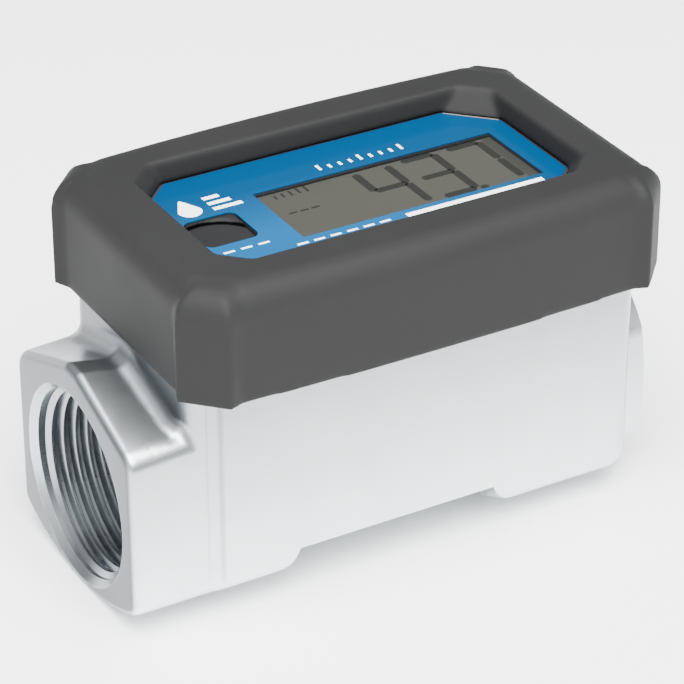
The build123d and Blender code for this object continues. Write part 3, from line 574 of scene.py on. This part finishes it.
nodeFinishes = {
    "meter_body": castAluminium, "inlet_support": acetalWhite, "outlet_support": acetalWhite,
    "inlet_bearing": bearingCarbon, "outlet_bearing": bearingCarbon,
    "inlet_retaining_ring": springSteel, "outlet_retaining_ring": springSteel,
    "turbine_rotor": acetalBlack, "rotor_shaft": groundSteel, "rotor_magnets": nickelPlate,
    "bezel_cover": bootElastomer, "electronics_tray": blackNylon, "tray_screws": zincPlate,
    "housing_seal": nitrileRubber, "face_plate": blackNylon, "face_label": labelFilm,
    "display_window": clearAcrylic, "lcd_glass": polariserFilm, "lcd_connector_strips": siliconeStrip,
    "circuit_board": boardLaminate, "board_screws": zincPlate, "board_chips": chipEpoxy,
    "battery_cells": nickelPlate, "battery_clips": springSteel, "coil_bobbin": acetalBlack,
    "coil_winding": enamelledCopper, "coil_core": softIron, "coil_pins": tinnedPin,
    "display_button": keySilicone, "button_dome": springSteel,
}
for nodeName, material in nodeFinishes.items():
    cadNodes[nodeName].data.materials.clear()
    cadNodes[nodeName].data.materials.append(material)
print("finishes set:", len(nodeFinishes))


# casting: the CAD form with its facets smoothed

castingForm = {"smoothDegrees": 28}
casting = meshCopy("meter_body", "bodyCasting")
softShade(casting, castingForm["smoothDegrees"])
finished(casting, "housing", castAluminium)
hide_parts("meter_body")
print("casting made")


# boot: the CAD form remeshed fine and relaxed, so every edge is soft as in a rubber moulding

bootForm = {"voxelMm": 0.5, "relaxTurns": 7, "relaxFactor": 0.5, "smoothDegrees": 60,
            "leanMm": 1.1, "leanX": (-36.5, -33.0), "leanEndX": (-20, -28), "leanZ": (41.4, 43.0)}
boot = meshCopy("bezel_cover", "rubberBoot")
remesh = boot.modifiers.new("remesh", "REMESH")
remesh.mode = "VOXEL"
remesh.voxel_size = bootForm["voxelMm"] * mm
remesh.use_smooth_shade = True
relax = boot.modifiers.new("relax", "SMOOTH")
relax.factor = bootForm["relaxFactor"]
relax.iterations = bootForm["relaxTurns"]
applyAll(boot)
# the left rim leans in over the label, most at its inner edge and top
for vert in boot.data.vertices:
    inward = ramp(vert.co.x / mm, *bootForm["leanX"]) * ramp(vert.co.x / mm, *bootForm["leanEndX"])
    high = ramp(vert.co.z / mm, *bootForm["leanZ"])
    vert.co.x += bootForm["leanMm"] * inward ** 2 * (3 - 2 * inward) * high * mm
softShade(boot, bootForm["smoothDegrees"])
finished(boot, "housing", bootElastomer)
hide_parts("bezel_cover")
print("boot made:", len(boot.data.polygons), "faces")


# key: its dish ends in a crisp crescent step at the far side, as the photo shows

keyForm = {"voxelMm": 0.12, "relaxTurns": 2, "relaxFactor": 0.5, "smoothDegrees": 50,
           "dishX": -2.0, "dishY": -3.6, "dishRadius": 7.9, "dishDeep": 2.0, "step": 0.55, "stepWide": 0.25,
           "sag": 0.4, "foldOut": 0.1, "foldWide": 0.75, "foldIn": 0.2, "foldFade": 0.25, "foldDeep": 1.5}
key = meshCopy("display_button", "dishedKey")
keyLow, keyHigh = [Vector(corner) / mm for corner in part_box("display_button")]
keyTop = keyHigh.z
dishX = (keyLow.x + keyHigh.x) / 2 + keyForm["dishX"]
dishY = (keyLow.y + keyHigh.y) / 2 + keyForm["dishY"]
keyMesh = key.modifiers.new("remesh", "REMESH")
keyMesh.mode = "VOXEL"
keyMesh.voxel_size = keyForm["voxelMm"] * mm
applyAll(key)


def fromDish(place):
    # a point's distance from the middle of the dish, seen from above
    return math.hypot(place.x / mm - dishX, place.y / mm - dishY)


for vert in key.data.vertices:
    away = fromDish(vert.co)
    if away < keyForm["dishRadius"] and vert.co.z / mm > keyTop - keyForm["dishDeep"]:
        edge = min(1.0, (keyForm["dishRadius"] - away) / keyForm["stepWide"])
        depth = keyForm["step"] * edge + keyForm["sag"] * (1 - (away / keyForm["dishRadius"]) ** 2)
        vert.co.z = min(vert.co.z, (keyTop - depth) * mm)
keyRelax = key.modifiers.new("relax", "SMOOTH")
keyRelax.factor = keyForm["relaxFactor"]
keyRelax.iterations = keyForm["relaxTurns"]
applyAll(key)
# the fold at the foot of the step is marked for the silicone to darken with a painted shadow
recessShadow = key.data.attributes.new("recessShadow", "FLOAT", "POINT")
for vert, mark in zip(key.data.vertices, recessShadow.data):
    within = keyForm["dishRadius"] + keyForm["foldOut"] - fromDish(vert.co)
    if vert.co.z / mm > keyTop - keyForm["foldDeep"] and 0 < within < keyForm["foldWide"]:
        beyond = keyForm["foldWide"] - within
        mark.value = min(1.0, within / keyForm["foldIn"], beyond / keyForm["foldFade"])
softShade(key, keyForm["smoothDegrees"])
finished(key, "button", keySilicone)
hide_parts("display_button")
print("key made:", len(key.data.polygons), "faces")


# pipe thread cut in both ports, as one helical ridge: 11.5 turns to the inch, tapered 1 in 32 on the radius

thread = {"pitch": 2.209, "turns": 8, "stepsPerTurn": 96, "root": 17.4, "crest": 15.75, "taper": 1 / 32,
          "start": 50.3, "flankLow": -0.15, "crestLow": 0.46, "crestHigh": 0.56, "flankHigh": 1.15,
          "sinkX": 49.65, "sinkRadius": 16.6, "rootBand": 0.3, "smoothDegrees": 40}


def pipeThread(name):
    root, crest = thread["root"], thread["crest"]
    bpy.ops.mesh.primitive_plane_add(size=1, location=(0, 0, 0))
    ridge = bpy.context.object
    # the plane's four corners become the ridge's section, standing at the top of the bore
    section = [(thread["flankLow"], root), (thread["flankHigh"], root),
               (thread["crestLow"], crest), (thread["crestHigh"], crest)]
    for vert, (turnShare, radius) in zip(ridge.data.vertices, section):
        vert.co = Vector((turnShare * thread["pitch"], 0, radius)) * mm
    editAll(ridge)
    bpy.ops.mesh.delete(type="ONLY_FACE")
    leaveEdit()
    screw = ridge.modifiers.new("screw", "SCREW")
    screw.axis = "X"
    screw.angle = math.tau
    screw.screw_offset = thread["pitch"] * mm
    screw.iterations = thread["turns"]
    screw.steps = thread["stepsPerTurn"]
    screw.render_steps = thread["stepsPerTurn"]
    screw.use_merge_vertices = False
    applyAll(ridge)
    # the crest leans inwards with the pipe taper, and the countersink's 45 degree cone cuts the first turns
    for vert in ridge.data.vertices:
        radius = math.hypot(vert.co.y, vert.co.z)
        if radius < (root - thread["rootBand"]) * mm:
            deeper = vert.co.x / mm
            cone = thread["sinkRadius"] + thread["start"] - deeper - thread["sinkX"]
            wanted = max(crest - deeper * thread["taper"], cone) * mm
            vert.co.y *= wanted / radius
            vert.co.z *= wanted / radius
    for vert in ridge.data.vertices:
        vert.co.x -= thread["start"] * mm
    # both open ends of the ridge are closed
    editPick(ridge, lambda co: False)
    bpy.ops.mesh.select_non_manifold(extend=False)
    bpy.ops.mesh.edge_face_add()
    leaveEdit()
    outwards(ridge)
    softShade(ridge, thread["smoothDegrees"])
    rename(ridge, name)
    return ridge


inletThread = pipeThread("inletThread")
outletThread = ownCopy(inletThread)
outletThread.rotation_euler = (0, 0, math.pi)
rename(outletThread, "outletThread")
finished(inletThread, "housing", cutAluminium)
finished(outletThread, "housing", cutAluminium)
print("threads made")


# display: the picture stands just under the window's face, where its refraction lifts it for the eye

display = {
    "top": 40.86, "ledge": 1.5, "margin": 0.1, "pictureThick": 0.06, "markThick": 0.03,
    "endWide": 2.0, "endThick": 0.02, "shadeWide": 0.35, "shadeSideWide": 0.32, "shadeGap": 0.05,
    "shadeLift": 0.001}
digits = {"shown": "437", "right": (12.75, 21.9, 31.0), "width": 6.3, "stroke": 1.5, "gap": 0.25,
          "upper": 6.1, "middle": -1.0, "lower": -8.4}
digitBars = {"4": "fgbc", "3": "abgcd", "7": "abc"}
point = {"right": 1.4, "down": 0.3, "length": 1.5, "width": 1.2}
smallFields = {"x": -9.2, "stroke": 0.42}
risingLevel = {"count": 5, "stepX": 1.5, "y": 5.3, "riseY": 0.12, "tall": 1.3, "taller": 0.24}
shortRule = {"y": -0.9, "length": 1.6, "offsets": (2.1, 4.2)}


def bar(x, y, length, width, turned):
    # an elongated hexagon with pointed ends
    bpy.ops.mesh.primitive_circle_add(vertices=6, radius=width * mm / 2 / math.cos(math.radians(30)),
                                      fill_type="NGON", location=(0, 0, 0),
                                      rotation=(0, 0, math.radians(30)))
    piece = bpy.context.object
    settle(piece)
    reach = (length - width) / 2 * mm
    editPick(piece, lambda co: co.x > 0)
    bpy.ops.transform.translate(value=(reach, 0, 0))
    editPick(piece, lambda co: co.x < 0)
    bpy.ops.transform.translate(value=(-reach, 0, 0))
    thicken(piece, display["markThick"])
    piece.rotation_euler = (0, 0, math.radians(turned))
    piece.location = (x * mm, y * mm, display["top"] * mm)
    settle(piece)
    return piece


def plate(x0, x1, y0, y1, floorZ, thick):
    bpy.ops.mesh.primitive_plane_add(size=1, location=(0, 0, 0))
    piece = bpy.context.object
    piece.scale = ((x1 - x0) * mm, (y1 - y0) * mm, 1)
    piece.location = ((x0 + x1) / 2 * mm, (y0 + y1) / 2 * mm, floorZ * mm)
    settle(piece)
    thicken(piece, thick)
    return piece


upperTall = digits["upper"] - digits["middle"]
lowerTall = digits["middle"] - digits["lower"]
levelBar = bar(0, 0, digits["width"] - digits["gap"], digits["stroke"], 0)
upperBar = bar(0, 0, upperTall - digits["gap"], digits["stroke"], 90)
lowerBar = bar(0, 0, lowerTall - digits["gap"], digits["stroke"], 90)


def digitPieces(figure, right):
    # each figure is put together from copies of the three bars
    left = right - digits["width"]
    centre = (left + right) / 2
    upperMid = (digits["upper"] + digits["middle"]) / 2
    lowerMid = (digits["middle"] + digits["lower"]) / 2
    places = {
        "a": (levelBar, centre, digits["upper"]), "g": (levelBar, centre, digits["middle"]),
        "d": (levelBar, centre, digits["lower"]), "b": (upperBar, right, upperMid),
        "f": (upperBar, left, upperMid), "c": (lowerBar, right, lowerMid)}
    return [copyAt(*places[segment]) for segment in digitBars[figure]]


windowLow, windowHigh = [Vector(corner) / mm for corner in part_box("display_window")]
inset = display["ledge"] + display["margin"]
pictureLeft, pictureRight = windowLow.x + inset, windowHigh.x - inset
pictureNear, pictureFar = windowLow.y + inset, windowHigh.y - inset

picture = plate(pictureLeft, pictureRight, pictureNear, pictureFar,
                display["top"] - display["pictureThick"], display["pictureThick"])
rename(picture, "displayPicture")
outwards(picture)
finished(picture, "housing", polariserFilm)

marks = []
for figure, right in zip(digits["shown"], digits["right"]):
    marks += digitPieces(figure, right)
for model in (levelBar, upperBar, lowerBar):
    bpy.data.objects.remove(model)
marks.append(bar(digits["right"][1] + point["right"], digits["lower"] - point["down"],
                 point["length"], point["width"], 0))
# a rising level and a short rule stand in the small fields at the left
for step in range(risingLevel["count"]):
    marks.append(bar(smallFields["x"] + risingLevel["stepX"] * step,
                     risingLevel["y"] + risingLevel["riseY"] * step,
                     risingLevel["tall"] + risingLevel["taller"] * step, smallFields["stroke"], 90))
ruleMark = bar(smallFields["x"], shortRule["y"], shortRule["length"], smallFields["stroke"], 0)
marks.append(ruleMark)
marks += [copyAt(ruleMark, offset, 0) for offset in shortRule["offsets"]]
displayMarks = joined(marks, "displayMarks")
outwards(displayMarks)
finished(displayMarks, "housing", liquidCrystal)

# the connector edge of the glass shows as a darker strip at the right end
glassEnd = plate(pictureRight - display["endWide"], pictureRight, pictureNear, pictureFar,
                 display["top"], display["endThick"])
rename(glassEnd, "displayGlassEnd")
outwards(glassEnd)
finished(glassEnd, "housing", polariserEdge)

# dark plates lay a painted shadow on the far and left edges of the picture, where the window's recess
# shades them
shadeFloor = display["top"] + display["shadeLift"]
farShade = plate(pictureLeft, pictureRight, pictureFar - display["shadeWide"], pictureFar,
                 shadeFloor, display["markThick"])
leftShade = plate(pictureLeft, pictureLeft + display["shadeSideWide"], pictureNear,
                  pictureFar - display["shadeWide"] - display["shadeGap"], shadeFloor, display["markThick"])
displayShade = joined([farShade, leftShade], "displayShade")
outwards(displayShade)
finished(displayShade, "housing", shadowBlack)
print("display marks made")


# label print: a scale, a drop sign, a stripe and short rules, all plain; boxes are x0, x1, y0, y1

labelPrints = {
    "top": 41.5, "thick": 0.03, "stripe": (6.0, 32.7, -12.9, -11.5),
    "longTick": (1.6, 2.1, 9.3, 11.2), "longOffsets": (8, 16),
    "shortTick": (3.6, 4.1, 9.3, 10.5), "shortOffsets": (2, 4, 8, 10, 12),
    "rule": (-14.6, -12.6, -12.3, -11.8), "ruleOffsets": (3.1, 6.2, 9.3, 12.4, 15.5),
    "keyRule": (-26.4, -24.4, -9.0, -8.5), "keyRuleOffsets": (3.2, 6.4),
    "signBars": ((-20.6, -15.2, 5.3, 6.3), (-20.6, -16.4, 7.3, 8.3), (-20.6, -17.6, 9.3, 10.3))}
dropSign = {"x": -24.4, "y": 7.0, "radius": 2.1, "sides": 32, "narrow": 0.55, "narrowPower": 1.5,
            "tip": 1.9, "tipPower": 2.2}
cutEdgeForm = {"x": 34.62, "y": 14.17, "halfLength": 5.0, "halfWidth": 0.16, "thick": 0.02, "turned": -45}


def patch(box):
    return plate(*box, labelPrints["top"], labelPrints["thick"])


def patchRow(box, offsets):
    # one patch and its copies, each so many millimetres to the right of the first
    first = patch(box)
    return [first] + [copyAt(first, offset, 0) for offset in offsets]


prints = [patch(labelPrints["stripe"])]
prints += patchRow(labelPrints["longTick"], labelPrints["longOffsets"])
prints += patchRow(labelPrints["shortTick"], labelPrints["shortOffsets"])
prints += patchRow(labelPrints["rule"], labelPrints["ruleOffsets"])
prints += patchRow(labelPrints["keyRule"], labelPrints["keyRuleOffsets"])
# the drop is a circle whose far half narrows to a point
bpy.ops.mesh.primitive_circle_add(vertices=dropSign["sides"], radius=dropSign["radius"] * mm,
                                  fill_type="NGON", location=(0, 0, 0))
drop = bpy.context.object
for vert in drop.data.vertices:
    high = max(0.0, vert.co.y / (dropSign["radius"] * mm))
    vert.co.x *= 1 - dropSign["narrow"] * high ** dropSign["narrowPower"]
    vert.co.y += dropSign["tip"] * mm * high ** dropSign["tipPower"]
drop.location = (dropSign["x"] * mm, dropSign["y"] * mm, labelPrints["top"] * mm)
settle(drop)
thicken(drop, labelPrints["thick"])
prints.append(drop)
prints += [patch(box) for box in labelPrints["signBars"]]

# the bare paper of the label's edge shows along its far right cut
cutEdge = plate(-cutEdgeForm["halfLength"], cutEdgeForm["halfLength"], -cutEdgeForm["halfWidth"],
                cutEdgeForm["halfWidth"], 0, cutEdgeForm["thick"])
cutEdge.location = (cutEdgeForm["x"] * mm, cutEdgeForm["y"] * mm, labelPrints["top"] * mm)
cutEdge.rotation_euler = (0, 0, math.radians(cutEdgeForm["turned"]))
settle(cutEdge)
rename(cutEdge, "labelCutEdge")
outwards(cutEdge)
finished(cutEdge, "housing", labelPaper)

labelPrint = joined(prints, "labelPrint")
outwards(labelPrint)
finished(labelPrint, "housing", printWhite)
print("label print made")


# camera at the photo's angle; the lens comes from its focal length in pixels, on a frame 684 pixels wide

cameraLook = {"azimuth": -29.777, "elevation": 30.046, "roll": -0.084, "distance": 560.44, "right": -0.482,
              "up": -11.288, "focalPixels": 3232.65, "framePixels": 684, "sensorMm": 36,
              "clipNear": 0.02, "clipFar": 20}
azimuth, elevation = math.radians(cameraLook["azimuth"]), math.radians(cameraLook["elevation"])
right = Vector((math.cos(azimuth), math.sin(azimuth), 0))
up = Vector((-math.sin(azimuth) * math.sin(elevation), math.cos(azimuth) * math.sin(elevation),
             math.cos(elevation)))
back = Vector((math.sin(azimuth) * math.cos(elevation), -math.cos(azimuth) * math.cos(elevation),
               math.sin(elevation)))
bpy.ops.object.camera_add()
camera = bpy.context.object
camera.name = "photoCamera"
rolled = Matrix.Rotation(math.radians(cameraLook["roll"]), 4, "Z")
turn = Matrix((right, up, back)).transposed().to_4x4() @ rolled
stand = back * cameraLook["distance"] - right * cameraLook["right"] - up * cameraLook["up"]
camera.matrix_world = Matrix.Translation(stand * mm) @ turn
camera.data.sensor_width = cameraLook["sensorMm"]
camera.data.lens = cameraLook["focalPixels"] / cameraLook["framePixels"] * cameraLook["sensorMm"]
camera.data.clip_start = cameraLook["clipNear"]
camera.data.clip_end = cameraLook["clipFar"]
bpy.context.scene.camera = camera
print("camera set")


# floor, soft light and a pale surround

# each softbox: its place, what it aims at, its size in metres and its power in watts
softboxes = {
    "keySoftbox": ((-0.15, -0.35, 0.9), (0, 0, 0.02), (0.9, 0.9), 60.0),
    "fillSoftbox": ((0.8, -0.6, 0.3), (0, 0, 0.01), (0.7, 0.5), 1.5),
    "sideSoftbox": ((-0.8, -0.3, 0.5), (0, 0, 0.03), (0.5, 0.5), 1.0)}
floorLook = {"size": 6, "z": -19.06}
bpy.ops.mesh.primitive_plane_add(size=floorLook["size"], location=(0, 0, floorLook["z"] * mm))
floor = bpy.context.object
floor.name = "studioFloor"
# matt photographic paper: an even near white that takes soft shadows
floorPaper = makeFinish("floorPaper", {
    "dark": "#F6F6F6", "light": "#FAFAFA", "roughLow": 0.7, "roughHigh": 0.8, "grainMm": 2, "bump": 0.01,
    "mottleMm": 300})
floor.data.materials.append(floorPaper)

# bright above and in front, dim behind, so the level faces keep their colour at this low angle
skyLook = {"towards": (-0.4, -0.5, 0.77), "tint": "#F4F6F8", "dim": 0.36, "bright": 1.5, "brightFrom": 0.0,
           "brightTo": 0.9, "sweep": 2.4, "sweepFrom": -0.02, "sweepTo": 0.24}
world = bpy.data.worlds.new("paleSurround")
bpy.context.scene.world = world
world.use_nodes = True
skyPlace = addNode(world, "ShaderNodeTexCoord", {}, {})
skyDot = addNode(world, "ShaderNodeVectorMath", {"operation": "DOT_PRODUCT", 1: skyLook["towards"]},
                 {0: skyPlace.outputs["Generated"]})
skyLevel = addNode(world, "ShaderNodeMapRange",
                   {"interpolation_type": "SMOOTHSTEP", "From Min": skyLook["brightFrom"],
                    "From Max": skyLook["brightTo"], "To Min": skyLook["dim"], "To Max": skyLook["bright"]},
                   {"Value": skyDot.outputs["Value"]})
# the backdrop sweeps up from the floor, so no hard horizon shows in the metal
skyAxes = addNode(world, "ShaderNodeSeparateXYZ", {}, {"Vector": skyPlace.outputs["Generated"]})
skySweep = addNode(world, "ShaderNodeMapRange",
                   {"interpolation_type": "SMOOTHSTEP", "From Min": skyLook["sweepFrom"],
                    "From Max": skyLook["sweepTo"], "To Min": skyLook["sweep"], "To Max": 0.0},
                   {"Value": skyAxes.outputs["Z"]})
skyTotal = addNode(world, "ShaderNodeMath", {"operation": "ADD"},
                   {0: skyLevel.outputs["Result"], 1: skySweep.outputs["Result"]})
skyShade = world.node_tree.nodes["Background"]
skyShade.inputs["Color"].default_value = linear(skyLook["tint"])
world.node_tree.links.new(skyTotal.outputs["Value"], skyShade.inputs["Strength"])

for name, (place, aim, size, power) in softboxes.items():
    bpy.ops.object.light_add(type="AREA", location=place)
    light = bpy.context.object
    light.name = name
    light.data.shape = "RECTANGLE"
    light.data.size, light.data.size_y = size
    light.data.energy = power
    light.rotation_mode = "QUATERNION"
    light.rotation_quaternion = (Vector(place) - Vector(aim)).to_track_quat("Z", "Y")
print("studio set")
